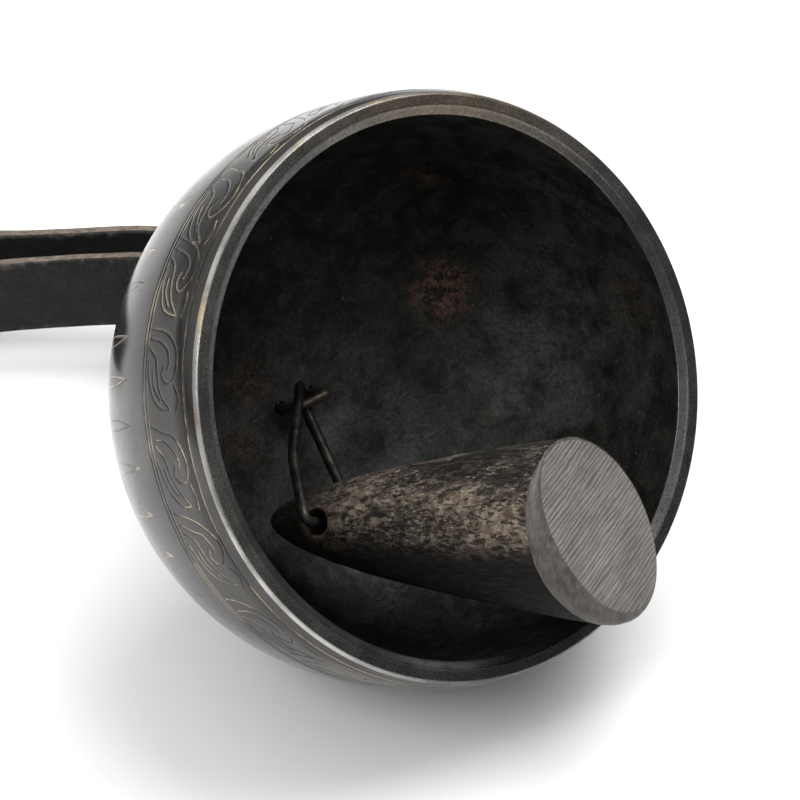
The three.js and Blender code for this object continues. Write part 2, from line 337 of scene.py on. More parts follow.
def bell_metal():
    """Dark gunmetal skin with brass showing in the worn engraved lines."""
    p = Paint("bell_metal")
    petal = p.math("ABSOLUTE", p.carried("petal"))
    line = p.step(p.math("MINIMUM", p.carried("engraved"), petal), 0.07, 0.17, 1.0, 0.0)
    band = p.carried("band")
    p.base(p.patch([24], 0.35, 0.7), (0.056, 0.054, 0.052), (0.105, 0.102, 0.098))
    p.coat(p.both(band, p.patch([11], 0.3, 0.75, 0.35, 0.9)), (0.043, 0.04, 0.036))
    p.coat(p.patch([16, 6.0], 0.55, 0.8, 0.0, 0.45), (0.085, 0.068, 0.056))
    brushed = p.streaks(p.turned_place(0.28, 14), 3.0)
    p.vary(brushed, grey(0.8), grey(1.12))
    pits = p.specks(1.5, 0.06, 0.16, ([7], 0.52, 0.62))
    p.coat(pits, (0.03, 0.026, 0.022), 0.75)
    worn = p.patch([13, 5.0, 0.6], 0.46, 0.58, 0.0, 0.85)
    brass = p.mix(p.cloud(2.5), (0.42, 0.32, 0.17), (0.68, 0.56, 0.36))
    cut = p.mix(worn, (0.022, 0.02, 0.018), brass)
    p.coat(line, cut)
    rough = p.patch([9, 6.0], 0.3, 0.75, 0.13, 0.24)
    rough = p.sum(rough, p.both(pits, 0.25))
    relief = p.less(p.both(brushed, 0.12), line)
    relief = p.less(relief, p.both(pits, 0.6))
    return p.finish(rough, 0.92, p.bump(relief, 0.07))


def rim_metal():
    """Turned rim face: fine rings, painted light at the top, painted shade at the bottom and right, a
    dark chamfer inside and a rubbed bevel outside that is partly a painted highlight.
    """
    p = Paint("rim_metal")
    rings = p.streaks(p.turned_place(0.12, 30), 3.0, 0.6)
    p.base(p.patch([20, 5.0], 0.35, 0.7), (0.10, 0.102, 0.103), (0.175, 0.17, 0.158))
    # Painted light: the top of the rim face is made lighter and warmer.
    top = p.near((20, 44, 0), 40)
    p.coat(top, (0.27, 0.21, 0.145), 0.6)
    # Painted shade: the rim face is darkened towards the bottom and the right.
    shaded = p.math("MAXIMUM", p.near((0, -50, 0), 80),
                    p.both(p.near((48, -20, 0), 50), 0.5))
    p.coat(shaded, (0.042, 0.044, 0.044), 0.85)
    p.vary(rings, (0.75, 0.75, 0.76), (1.15, 1.15, 1.14))
    grit = p.cloud(0.4, 3.0, 0.6)
    p.vary(p.step(grit, 0.3, 0.7), grey(0.6), grey(1.35))
    specks = p.specks(0.9, 0.08, 0.2, ([5], 0.5, 0.6))
    p.coat(specks, (0.035, 0.03, 0.026), 0.7)
    # The bevel's colour is partly real rubbed metal and partly a painted highlight: it is made bright to
    # stand for a lamp's reflection, and dimmed where the face has painted shade.
    rubbed = p.mix(p.patch([9], 0.5, 0.7), (0.52, 0.5, 0.475), (0.6, 0.48, 0.28))
    edge = p.both(p.carried("edge"), p.patch([12, 5.0], 0.38, 0.6, 0.35, 0.95))
    edge = p.both(edge, p.step(shaded, 0.2, 0.9, 1.0, 0.25))
    p.coat(edge, rubbed)
    p.coat(p.carried("chamfer"), (0.06, 0.063, 0.063), 0.3)
    rough = p.patch([4, 6.0], 0.3, 0.75, 0.24, 0.4)
    relief = p.sum(rings, p.both(grit, 0.6))
    return p.finish(rough, 0.92, p.bump(relief, 0.02))


def inside_metal():
    """The unpolished inside: near black, mottled, with lighter blue-grey patches at two places and rusty
    marks.
    """
    p = Paint("inside_metal")
    mottle = p.cloud(5, 8.0, 0.7, distortion=0.6)
    p.base(p.step(mottle, 0.35, 0.75), (0.011, 0.011, 0.010), (0.050, 0.049, 0.044))
    # Lighter blue-grey patches round two given points inside.
    grey_patches = p.math("MAXIMUM", p.near((4, -8, -54), 30),
                   p.near((43, -8, -28), 34))
    grey_patches = p.both(grey_patches, p.patch([9, 7.0, 0.65], 0.38, 0.66))
    p.coat(grey_patches, (0.09, 0.097, 0.096), 0.85)
    rust = p.both(p.near((32, 7, -46), 8), 2.2)
    for spot, reach, share in (((-8, 7, -53), 7, 0.5), ((-13, -3, -53), 6, 0.45),
                               ((31, 29, -35), 5, 0.8), ((46, -4, -12), 12, 0.35)):
        rust = p.math("MAXIMUM", rust, p.both(p.near(spot, reach), share))
    rust = p.both(rust, p.patch([2.2, 7.0, 0.7], 0.42, 0.62))
    p.coat(rust, (0.14, 0.075, 0.055), 0.85)
    grain = p.patch([0.55, 5.0, 0.7], 0.3, 0.7)
    p.vary(grain, grey(0.6), (1.45, 1.45, 1.4))
    dust = p.specks(2.6, 0.05, 0.1, ([4], 0.56, 0.62))
    p.coat(dust, (0.22, 0.19, 0.16), 0.8)
    rough = p.patch([3, 6.0], 0.3, 0.75, 0.42, 0.62)
    relief = p.sum(mottle, p.both(p.cloud(1.1, 5.0), 0.4))
    return p.finish(rough, 0.55, p.bump(relief, 0.28), 0.35)


def dull_wire(name, dark, light):
    """Drawn iron wire with a brown skin, rust patches and a fine bumpy surface."""
    p = Paint(name)
    p.base(p.patch([3.5, 6.0], 0.35, 0.7), dark, light)
    rust = p.patch([1.8, 6.0, 0.7], 0.56, 0.72)
    p.coat(rust, (0.13, 0.075, 0.045), 0.6)
    rough = p.patch([1.2, 5.0], 0.3, 0.75, 0.34, 0.6)
    relief = p.cloud(0.45, 6.0, 0.65)
    return p.finish(rough, 0.7, p.bump(relief, 0.05))


def horn_side():
    """The horn's rough outside: black fibres along it, tan where they have flaked, with painted shade on
    its lower side and towards its tip.
    """
    p = Paint("horn_side")
    fibres = p.streaks(p.stretched(0.6, 0.6, 4), 8.0, 0.72, 0.5)
    flakes = p.streaks(p.stretched(0.7, 0.7, 4.5), 9.0, 0.82, 0.4)
    patches = p.both(p.streaks(p.stretched(7, 7, 16), 4.0, 0.6), 0.55)
    p.base(p.step(fibres, 0.42, 0.72), (0.006, 0.0055, 0.005), (0.095, 0.078, 0.062))
    parts = p.parts(p.place)
    # Painted shade: lit_side falls off towards the lower side and the tip, and keeps the tan flakes and
    # crumbs to the lit part.
    lit_side = p.step(parts[1], 1 * MM, 7 * MM, 1.0, 0.03)
    lit_side = p.both(lit_side, p.step(parts[2], -7 * MM, 9 * MM, 0.15, 1.0))
    middle = p.step(p.math("ABSOLUTE", p.sum(parts[1], 1 * MM)), 3 * MM, 10 * MM, 0.07, -0.03)
    patches = p.sum(patches, middle)
    flaked = p.step(p.sum(flakes, patches), 0.72, 0.94, 0.0, 0.8)
    p.coat(p.both(flaked, lit_side), (0.21, 0.165, 0.125))
    crumbs = p.streaks(p.stretched(0.55, 0.55, 1.3), 7.0, 0.75, 0.3)
    crumbs = p.step(p.sum(crumbs, patches), 0.79, 0.88, 0.0, 0.85)
    tan = p.mix(p.patch([1.6, 5.0], 0.35, 0.65), (0.19, 0.14, 0.1), (0.52, 0.43, 0.33))
    p.coat(p.both(crumbs, lit_side), tan)
    hollows = p.step(p.streaks(p.stretched(1.0, 1.0, 2.4), 6.0, 0.7, 0.6), 0.40, 0.52, 0.9, 0.0)
    p.coat(hollows, (0.006, 0.0055, 0.005))
    # Painted shade: darkens the colour away from the lit side.
    p.vary(lit_side, grey(0.4), grey(1.0))
    from_hole = p.length(parts[1], parts[2])
    lip = p.step(from_hole, (HOLE_RADIUS + 0.1) * MM, (HOLE_RADIUS + 1.5) * MM, 1.0, 0.0)
    lip = p.both(lip, p.patch([1.3, 6.0], 0.36, 0.6, 0.25, 1.0))
    p.coat(lip, (0.30, 0.225, 0.155))
    # Painted shade inside the bore of the hole.
    hole_shade = p.step(from_hole, (HOLE_RADIUS - 0.1) * MM, (HOLE_RADIUS + 0.25) * MM, 1.0, 0.0)
    p.coat(hole_shade, (0.02, 0.016, 0.012), 0.85)
    rough = p.step(fibres, 0.3, 0.7, 0.55, 0.85)
    relief = p.sum(fibres, p.both(flakes, 1.1))
    relief = p.less(relief, p.both(hollows, 0.5))
    return p.finish(rough, 0.0, p.bump(relief, 0.9), 0.3)


def sawn_place(p):
    """Coordinates in the sawn face: x along the saw lines and y across them."""
    to_horn = horn_in_bell.to_3x3().transposed()
    normal = to_horn @ SAWN_NORMAL
    run = to_horn @ SAW_RUN
    run = (run - normal * run.dot(normal)).normalized()
    made = p.node("ShaderNodeCombineXYZ", {0: p.along(run), 1: p.along(normal.cross(run))})
    return made.outputs[0]


def horn_sawn():
    """The sawn end face: grey-brown horn, evenly spaced saw lines and a few stains."""
    p = Paint("horn_sawn")
    place = sawn_place(p)
    across = p.parts(place)[1]
    drift = p.both(p.streaks(p.stretched(14, 3, 14, place), 4.0, 0.6), 16.0)
    waves = p.math("SINE", p.sum(p.both(across, tau / (SAW_PITCH * MM)), drift))
    waves = p.step(waves, -0.6, 0.9)
    saw = p.streaks(p.stretched(12, 0.3, 12, place), 5.0, 0.7)
    saw = p.mix(0.16, saw, waves)
    broad = p.streaks(p.stretched(20, 1.9, 20, place), 3.0)
    p.base(p.patch([9, 6.0], 0.3, 0.75), (0.155, 0.142, 0.13), (0.235, 0.218, 0.203))
    p.vary(p.step(saw, 0.3, 0.7), (0.36, 0.34, 0.32), (1.2, 1.19, 1.19))
    p.vary(broad, grey(0.8), grey(1.15))
    stain = p.patch([5, 7.0, 0.65], 0.56, 0.74, 0.0, 0.5)
    p.coat(stain, (0.115, 0.098, 0.084))
    specks = p.specks(1.1, 0.05, 0.13, ([3], 0.5, 0.6))
    p.coat(specks, (0.05, 0.043, 0.036), 0.7)
    relief = p.sum(saw, p.both(broad, 0.5))
    return p.finish(p.step(saw, 0.3, 0.7, 0.5, 0.68), 0.0, p.bump(relief, 0.16), 0.35)


def horn_bevel():
    """The browner filed bevel between the horn's side and its sawn face."""
    p = Paint("horn_bevel")
    filed = p.streaks(p.stretched(1.4, 1.4, 0.4), 6.0, 0.65)
    p.base(p.step(filed, 0.3, 0.75), (0.042, 0.036, 0.031), (0.105, 0.092, 0.079))
    p.coat(p.patch([5, 6.0], 0.5, 0.68, 0.0, 0.8), (0.034, 0.029, 0.025))
    return p.finish(p.step(filed, 0.3, 0.7, 0.42, 0.62), 0.0, p.bump(filed, 0.08), 0.45)


def leather_grain():
    """Black dyed leather: pebbled grain, creases across, grey scuffs near the hand loop."""
    p = Paint("leather_grain")
    pebbles = p.cells(0.85)
    creases = p.streaks(p.stretched(5, 5, 1.1), 6.0, 0.65, 0.8)
    p.base(p.patch([7, 6.0], 0.3, 0.75), (0.0040, 0.0040, 0.0038), (0.0085, 0.0085, 0.0078))
    p.coat(p.step(creases, 0.55, 0.8, 0.0, 0.5), (0.023, 0.0225, 0.0205))
    scuffed = p.both(p.near((-66, 44, 1), 26),
                     p.patch([2.4, 8.0, 0.72], 0.47, 0.66))
    p.coat(scuffed, (0.105, 0.104, 0.098), 0.8)
    rubbed = p.both(p.carried("corner"), p.patch([3, 7.0, 0.7], 0.48, 0.66))
    p.coat(rubbed, (0.085, 0.072, 0.058), 0.7)
    rough = p.patch([2.2, 6.0], 0.3, 0.75, 0.48, 0.68)
    relief = p.sum(pebbles, p.both(creases, 1.2))
    return p.finish(rough, 0.0, p.bump(relief, 0.12), 0.24)


def leather_edge():
    """The raw cut edge: tan fibres, rubbed grey and darker in places."""
    p = Paint("leather_edge")
    fibres = p.streaks(p.stretched(1.0, 1.0, 0.35), 7.0, 0.7, 0.6)
    p.base(p.step(fibres, 0.3, 0.75), (0.085, 0.068, 0.052), (0.215, 0.18, 0.14))
    p.coat(p.patch([4.5, 6.0, 0.65], 0.5, 0.7, 0.0, 0.8), (0.045, 0.04, 0.036))
    return p.finish(0.85, 0.0, p.bump(fibres, 0.18), 0.25)


def hammered_copper(name):
    p = Paint(name)
    facets = p.cells(1.1)
    p.base(p.patch([2.2, 6.0], 0.3, 0.75), (0.16, 0.065, 0.035), (0.42, 0.19, 0.11))
    p.coat(p.patch([1.2, 6.0, 0.7], 0.58, 0.74, 0.0, 0.7), (0.05, 0.035, 0.028))
    rough = p.patch([1.5, 6.0], 0.3, 0.75, 0.26, 0.5)
    return p.finish(rough, 0.95, p.bump(facets, 0.12))


def floor_paper():
    """Pale paper with painted shade that greys it with distance, standing in for how the light on table
    paper falls off in a larger room.
    """
    p = Paint("floor_paper")
    p.base(p.cloud(60, 3.0), (0.90, 0.90, 0.905), grey(0.92))
    # Painted shade: the floor greys with distance.
    p.colour = p.mix(p.near((0, 0, 0), FLOOR_FADE), grey(0.16), p.colour)
    return p.finish(0.9, 0.0, p.bump(p.cloud(2, 4.0), 0.02), 0.1)


# ---- mesh helpers

ROUND = 48  # columns of a small turned piece
WIRE_SIDES = 24
PATH_SPACING = 0.25


def make_piece(name, points, faces, place, materials, face_slots=None):
    """A smooth-shaded object from points in millimetres."""
    mesh = bpy.data.meshes.new(name)
    mesh.from_pydata((np.asarray(points, float) * MM).tolist(), [], faces)
    for material in materials:
        mesh.materials.append(material)
    if face_slots is not None:
        mesh.polygons.foreach_set("material_index", np.asarray(face_slots, np.int32))
    mesh.polygons.foreach_set("use_smooth", np.ones(len(faces), bool))
    mesh.update()
    piece = bpy.data.objects.new(name, mesh)
    piece.matrix_world = place
    bpy.context.scene.collection.objects.link(piece)
    return piece


def carry(piece, name, values):
    attribute = piece.data.attributes.new(name, "FLOAT", "POINT")
    attribute.data.foreach_set("value", np.asarray(values, np.float32))


def settle(piece):
    """Keeps each point's place in the piece's own frame, then moves the mesh to the row frame."""
    mesh = piece.data
    places = np.zeros(len(mesh.vertices) * 3, np.float32)
    mesh.vertices.foreach_get("co", places)
    own = mesh.attributes.get("own_place") or mesh.attributes.new(
        "own_place", "FLOAT_VECTOR", "POINT")
    own.data.foreach_set("vector", places)
    mesh.transform(piece.matrix_world)
    piece.matrix_world = Matrix.Identity(4)


def stand_for(piece, body, node):
    settle(piece)
    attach(piece, body)
    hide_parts(node)


def join_rings(start_a, count_a, start_b, count_b):
    """Faces between two closed rings; a finer first ring meets a coarser one in fans."""
    faces = []
    share = count_a // count_b
    for i in range(count_b):
        first = [start_a + (i * share + k) % count_a for k in range(share + 1)]
        faces.append([*first, start_b + (i + 1) % count_b, start_b + i])
    return faces


def turned_rings(rings):
    """Points and faces of a surface of revolution given as (radius, height, columns)."""
    points, faces, starts = [], [], []
    for radius, height, columns in rings:
        starts.append(len(points))
        if radius == 0:
            points.append((0.0, 0.0, height))
            continue
        for angle in np.arange(columns) * (tau / columns):
            points.append((radius * cos(angle), radius * sin(angle), height))
    for i in range(len(rings) - 1):
        (radius_a, _, a), (radius_b, _, b) = rings[i], rings[i + 1]
        if radius_a == 0:
            faces += [[starts[i], starts[i + 1] + (k + 1) % b, starts[i + 1] + k]
                      for k in range(b)]
        elif radius_b == 0:
            faces += [[starts[i] + k, starts[i] + (k + 1) % a, starts[i + 1]]
                      for k in range(a)]
        elif a >= b:
            faces += join_rings(starts[i], a, starts[i + 1], b)
        else:
            faces += [face[::-1] for face in join_rings(starts[i + 1], b, starts[i], a)]
    return points, faces


def lengths_along(line):
    """How far along a line each of its points lies."""
    return np.concatenate([[0], np.cumsum(np.linalg.norm(np.diff(line, axis=0), axis=1))])


def evenly(line, count):
    """The given number of evenly spaced points of a line."""
    length = lengths_along(line)
    steps = np.linspace(0, length[-1], count)
    return np.stack([np.interp(steps, length, column) for column in line.T], 1)


def resampled(line, spacing):
    """The same line with points about the given spacing apart."""
    return evenly(line, max(2, int(round(lengths_along(line)[-1] / spacing)) + 1))


def bent_path(corners, bend):
    """A line through corner points, with each inner corner rounded over its bend."""
    corners = [Vector(corner) for corner in corners]
    dense = [corners[0]]
    for before, corner, after in zip(corners, corners[1:], corners[2:]):
        to_before, to_after = before - corner, after - corner
        cut = min(bend, 0.5 * min(to_before.length, to_after.length))
        start = corner + to_before.normalized() * cut
        end = corner + to_after.normalized() * cut
        for t in np.linspace(0, 1, 13):
            dense.append(start * (1 - t) ** 2 + corner * (2 * t * (1 - t)) + end * t ** 2)
    dense.append(corners[-1])
    line = np.array(dense)
    return evenly(line, int(lengths_along(line)[-1] / PATH_SPACING) + 2)


def tube(path, radius, seed, uneven):
    """Points and faces of a round wire with domed ends and a slightly uneven skin."""
    tangents = np.gradient(path, axis=0)
    tangents /= np.linalg.norm(tangents, axis=1)[:, None]
    side = np.cross(tangents[0], (0.31, 0.52, 0.79))
    frames = []
    for tangent in tangents:
        side = side - tangent * side.dot(tangent)
        side /= np.linalg.norm(side)
        frames.append((side, np.cross(tangent, side)))
    last = len(path) - 1
    turns = np.linspace(0.1, 0.775, 4) * pi / 2
    dome = [(0.5 * radius * (1 - cos(turn)), sin(turn)) for turn in turns]
    rings = [(0, inward, scale) for inward, scale in dome]
    rings += [(i, 0.0, 1.0) for i in range(3, last - 2)]
    rings += [(last, -inward, scale) for inward, scale in dome[::-1]]
    points = []
    for i, shift, scale in rings:
        centre = path[i] + tangents[i] * shift
        a, b = frames[i]
        for angle in np.arange(WIRE_SIDES) * (tau / WIRE_SIDES):
            direction = a * cos(angle) + b * sin(angle)
            dent = noise.noise(Vector(centre * 0.7 + direction * 1.3 + seed))
            points.append(centre + direction * radius * scale * (1 + uneven * dent))
    faces = []
    for r in range(len(rings) - 1):
        faces += join_rings(r * WIRE_SIDES, WIRE_SIDES, (r + 1) * WIRE_SIDES, WIRE_SIDES)
    faces.append(list(range(WIRE_SIDES))[::-1])
    faces.append([(len(rings) - 1) * WIRE_SIDES + k for k in range(WIRE_SIDES)])
    return points, faces


def turned(profile):
    """Points and faces of a small turned piece given as (radius, height)."""
    return turned_rings([(radius, height, ROUND) for radius, height in profile])


def hole_cutter(profile, place):
    return make_piece("hole_cutter", *turned(profile), place, [])


def cut_with(piece, cutters):
    """Takes the cutters' solids out of a piece and removes the cutters."""
    for cutter in cutters:
        modifier = piece.modifiers.new("cut", "BOOLEAN")
        modifier.operation = "DIFFERENCE"
        modifier.solver = "EXACT"
        modifier.object = cutter
    bpy.context.view_layer.update()
    graph = bpy.context.evaluated_depsgraph_get()
    cut = bpy.data.meshes.new_from_object(piece.evaluated_get(graph))
    piece.modifiers.clear()
    piece.data = cut
    for cutter in cutters:
        bpy.data.objects.remove(cutter)


# ---- bowl

FINE_COLUMNS = 1440
PETAL_COLUMNS = 480
INSIDE_COLUMNS = 240
BAND_START = 3.1  # depth behind the rim of the single engraved line
BAND_END = 15.4  # depth of the first of the two engraved lines
DOUBLE_LINE_GAP = 1.1
FINE_END = 18.5
SCROLLS = 20
PETALS = 40
PETAL_TIP = 22
GROOVE_DEPTH = 0.09
GROOVE_REACH = 0.24
SWELL_DEPTH = 0.06  # the cast wall's slow unevenness
FAR_FROM_LINES = 9.0
OUTSIDE_POINTS = 0.985  # wall shares past which points and faces count as outside
OUTSIDE_FACES = 0.96
SIDE_INNER = 49  # radius beyond which a face of the straight side is outside


def superellipse(radius, height, angles):
    power = 2 / FULLNESS
    fall = (height - SHOULDER) * np.sin(angles) ** power
    return np.stack([radius * np.cos(angles) ** power, -SHOULDER - fall], 1)


def outside_wall():
    """(radius, height) from the end of the rim's bevelled edge to the crown."""
    heights = np.linspace(-EDGE_DEPTH, -SHOULDER, 40)
    side = np.stack([BOWL_RADIUS - RIM_TAPER * (1 + heights / SHOULDER) ** 2, heights], 1)
    curve = superellipse(BOWL_RADIUS, BOWL_HEIGHT, np.linspace(0, pi / 2, 1200)[1:])
    curve[-1, 0] = 0
    return np.concatenate([side, curve])


def bowl_rings():
    wall = outside_wall()
    fine = resampled(wall[wall[:, 1] > -FINE_END], 0.22)
    rest = resampled(wall[wall[:, 1] <= -FINE_END], 0.62)
    edge_outer = fine[0]
    turn = np.linspace(0, pi / 2, 9)
    edge = np.stack([edge_outer[0] - EDGE_WIDTH * (1 - np.sin(turn) ** EDGE_FLATNESS),
                     -EDGE_DEPTH * (1 - np.cos(turn) ** EDGE_FLATNESS)], 1)[:-1][::-1]
    face_inner = MOUTH_RADIUS + MOUTH_CHAMFER
    face_outer = edge[-1][0]
    face = [(face_outer - 0.25, 0.0)]
    face += [(face_outer - 0.25 - (face_outer - 0.25 - face_inner) * t, 0.0)
             for t in (0.35, 0.7, 0.9)]
    step = [(face_inner + 0.02, -0.05), (face_inner - 0.06, -0.16)]
    chamfer = [(face_inner - MOUTH_CHAMFER * t, -0.16 - (MOUTH_CHAMFER_DEPTH - 0.16) * t)
               for t in (0.15, 0.5, 0.85)]
    mouth = [(MOUTH_RADIUS + 0.06, -MOUTH_CHAMFER_DEPTH), (MOUTH_RADIUS + 0.01, -1.05)]
    inner_wall = BOWL_RADIUS - WALL
    inside = superellipse(inner_wall, BOWL_HEIGHT - WALL, np.linspace(0, pi / 2, 600))
    inside[-1, 0] = 0
    inside = resampled(inside, 1.1)
    rings = [(r, z, PETAL_COLUMNS) for r, z in rest[::-1]]
    rings += [(r, z, FINE_COLUMNS) for r, z in fine[::-1]]
    rings += [(r, z, PETAL_COLUMNS) for r, z in [*edge, *face, *step, *chamfer, *mouth]]
    rings += [(r, z, INSIDE_COLUMNS) for r, z in
              [(MOUTH_RADIUS + 0.2, -2.4), (MOUTH_RADIUS + 0.45, -4.2), *inside]]
    return rings


def spline(points, spacing):
    """Points along a Catmull-Rom curve through the given ones."""
    points = np.asarray(points, float)
    ends = np.concatenate([[2 * points[0] - points[1]], points, [2 * points[-1] - points[-2]]])
    made = []
    for a, b, c, d in zip(ends, ends[1:], ends[2:], ends[3:]):
        count = max(2, int(np.linalg.norm(c - b) / spacing))
        for t in np.arange(count) / count:
            made.append(0.5 * (2 * b + (c - a) * t + (2 * a - 5 * b + 4 * c - d) * t ** 2
                               + (3 * b - a - 3 * c + d) * t ** 3))
    return np.array([*made, points[-1]])


# One scroll of the engraved band, as (share of its length, share of the band's width).
SCROLL_LINES = [
    [(-0.02, 0.93), (0.04, 0.66), (0.12, 0.38), (0.28, 0.17), (0.47, 0.12), (0.63, 0.24),
     (0.66, 0.42), (0.57, 0.53), (0.46, 0.47)],
    [(0.14, 0.90), (0.19, 0.62), (0.28, 0.42), (0.42, 0.33), (0.50, 0.38)],
    [(0.24, 0.92), (0.36, 0.72), (0.56, 0.66), (0.78, 0.56), (0.95, 0.34)],
    [(0.95, 0.34), (0.93, 0.58), (0.80, 0.78), (0.58, 0.90), (0.36, 0.93)],
    [(0.50, 0.80), (0.68, 0.73), (0.83, 0.58)],
    [(0.70, 0.17), (0.84, 0.12), (0.98, 0.18)],
]


def scroll_points():
    """Points close together along every engraved scroll, as (arc, depth) in millimetres."""
    length = tau * BOWL_RADIUS / SCROLLS
    width = BAND_END - BAND_START
    made = []
    for i in range(SCROLLS):
        stretch = 1 + 0.08 * rng.normal(size=2)
        shift = 0.035 * rng.normal(size=2)
        for line in SCROLL_LINES:
            wobble = 0.012 * rng.normal(size=(len(line), 2))
            shares = np.asarray(line) * (stretch[0], 1) + wobble + shift * (1, 0.5)
            shares[:, 1] = 0.5 + (shares[:, 1] - 0.5) * min(stretch[1], 1.08)
            shares[:, 1] = np.clip(shares[:, 1], 0.05, 0.95)
            made.append(spline((shares + (i, 0)) * (length, width) + (0, BAND_START), 0.08))
    return np.concatenate(made)


def engraving(angle, depth):
    """Distance in millimetres from each outside point to the nearest line of the band."""
    around = tau * BOWL_RADIUS
    arc = angle * BOWL_RADIUS
    lines = [BAND_START, BAND_END, BAND_END + DOUBLE_LINE_GAP]
    sway = 0.12 * np.sin(3 * angle + 1) + 0.07 * np.sin(7 * angle)
    nearest = np.min([np.abs(depth + sway - line) for line in lines], axis=0)
    scrolls = scroll_points()
    wrapped = np.concatenate([scrolls, scrolls + (around, 0), scrolls - (around, 0)])
    wrapped = wrapped[(wrapped[:, 0] > -2) & (wrapped[:, 0] < around + 2)]
    tree = kdtree.KDTree(len(wrapped))
    for i, (x, y) in enumerate(wrapped):
        tree.insert((x, y, 0), i)
    tree.balance()
    for i in np.flatnonzero((depth > BAND_START - 1) & (depth < BAND_END + 1)):
        nearest[i] = min(nearest[i], tree.find((arc[i], depth[i], 0))[2])
    return nearest


def petal_distance(angle, radius, depth):
    """Distance out of the long narrow petals round the crown; negative inside a petal."""
    pitch = tau / PETALS
    index = np.round(angle / pitch).astype(int) % PETALS
    tip = (PETAL_TIP + 1.3 * rng.normal(size=PETALS))[index]
    lean = (0.012 * rng.normal(size=PETALS))[index]
    off = np.abs((angle - np.round(angle / pitch) * pitch) + lean) * radius
    beyond = depth - tip
    crown = np.clip((radius - 13) / 5, -1, 1)
    wide = 0.85 * np.clip(beyond / 8, 0, 1) ** 0.8 * np.clip(radius / 40, 0.2, 1) ** 0.8
    half = np.where(beyond > 0, wide, beyond)
    half = np.where(crown > 0, half * np.sqrt(np.clip(crown, 0, 1)), crown * 5)
    return off - half


def wall_share(radius, depth):
    """1 on the outside wall below the shoulder, less towards the inside."""
    level = np.clip((depth - SHOULDER) / (BOWL_HEIGHT - SHOULDER), 0, 1)
    return ((radius / BOWL_RADIUS) ** FULLNESS + level ** FULLNESS) ** (1 / FULLNESS)


def read_rows(items, name):
    """A vector property of mesh items, in millimetres, one row for each item."""
    values = np.zeros(len(items) * 3)
    items.foreach_get(name, values)
    return values.reshape(-1, 3) / MM


def drill_crown(piece):
    hole = STAPLE_WIRE + TOUCH_GAP
    profile = [(0, -3 * WALL), (hole, -3 * WALL), (hole, 3 * WALL), (0, 3 * WALL)]
    cut_with(piece, [
        hole_cutter(profile, bell @ Matrix.Translation(
            (side * STAPLE_HALF_SPACING * MM, 0, -BOWL_HEIGHT * MM)))
        for side in (-1, 1)
    ])


def carry_marks(piece, co, radius, depth, outside):
    """Stores where the lines, band, chamfer and edge are, and returns the line distance."""
    angle = np.arctan2(co[:, 1], co[:, 0]) % (tau)
    distance = np.full(len(co), FAR_FROM_LINES)
    distance[outside] = engraving(angle[outside], depth[outside])
    petals = np.full(len(co), FAR_FROM_LINES)
    petals[outside] = petal_distance(angle[outside], radius[outside], depth[outside])
    within = np.clip((depth - BAND_START) / 0.5, 0, 1) * np.clip((BAND_END - depth) / 0.5, 0, 1)
    on_rim = depth < EDGE_DEPTH
    in_chamfer = np.clip((MOUTH_RADIUS + MOUTH_CHAMFER - radius) / 0.2 + 0.5, 0, 1)
    in_edge = np.clip((radius - BOWL_RADIUS + RIM_TAPER + 0.25) / 0.3, 0, 1)
    carry(piece, "engraved", distance)
    carry(piece, "petal", petals)
    carry(piece, "band", within * outside)
    carry(piece, "chamfer", in_chamfer * on_rim)
    carry(piece, "edge", in_edge * on_rim)
    return distance


def surface_slots(mesh):
    """The material of each face: 0 outside, 1 on the rim, 2 inside."""
    centres = read_rows(mesh.polygons, "center")
    radius = np.hypot(centres[:, 0], centres[:, 1])
    depth = -centres[:, 2]
    wall = (depth < SHOULDER) & (radius > SIDE_INNER)
    wall |= wall_share(radius, depth) > OUTSIDE_FACES
    slots = np.where(depth < EDGE_DEPTH, 1, np.where(wall, 0, 2))
    return np.where((depth < EDGE_DEPTH) & (radius < MOUTH_RADIUS + 0.03), 2, slots)


def build_bowl():
    points, faces = turned_rings(bowl_rings())
    piece = make_piece("bowl_shell", points, faces, bell,
                       [bell_metal(), rim_metal(), inside_metal()])
    drill_crown(piece)
    mesh = piece.data
    co = read_rows(mesh.vertices, "co")
    radius = np.hypot(co[:, 0], co[:, 1])
    depth = -co[:, 2]
    on_wall = np.where(depth < SHOULDER, radius > BOWL_RADIUS - RIM_TAPER - 0.2,
                       wall_share(radius, depth) > OUTSIDE_POINTS)
    outside = (depth > EDGE_DEPTH - 0.01) & on_wall
    distance = carry_marks(piece, co, radius, depth, outside)
    away = co.copy()
    away[:, 2] += SHOULDER
    away[depth < SHOULDER, 2] = 0
    away /= np.maximum(np.linalg.norm(away, axis=1), 1e-6)[:, None]
    groove = GROOVE_DEPTH * np.clip(1 - distance / GROOVE_REACH, 0, 1) * outside
    swell = np.array([noise.noise(Vector(c) * 0.045) for c in co]) * SWELL_DEPTH
    swell *= np.clip((depth - 1.5) / 6, 0, 1) * (radius > 8)
    co -= away * (groove + np.abs(swell))[:, None]
    mesh.vertices.foreach_set("co", (co * MM).ravel())
    mesh.polygons.foreach_set("material_index", surface_slots(mesh).astype(np.int32))
    mesh.polygons.foreach_set("use_smooth", np.ones(len(mesh.polygons), bool))
    mesh.update()
    stand_for(piece, "bell", "bowl")


# ---- wire fittings


def add_wire(name, place, path, radius, seed, colours, uneven=0.03):
    """A wire piece along a path, skinned in the two given browns."""
    points, faces = tube(path, radius, seed, uneven)
    return make_piece(name, points, faces, place, [dull_wire(name + "_skin", *colours)])


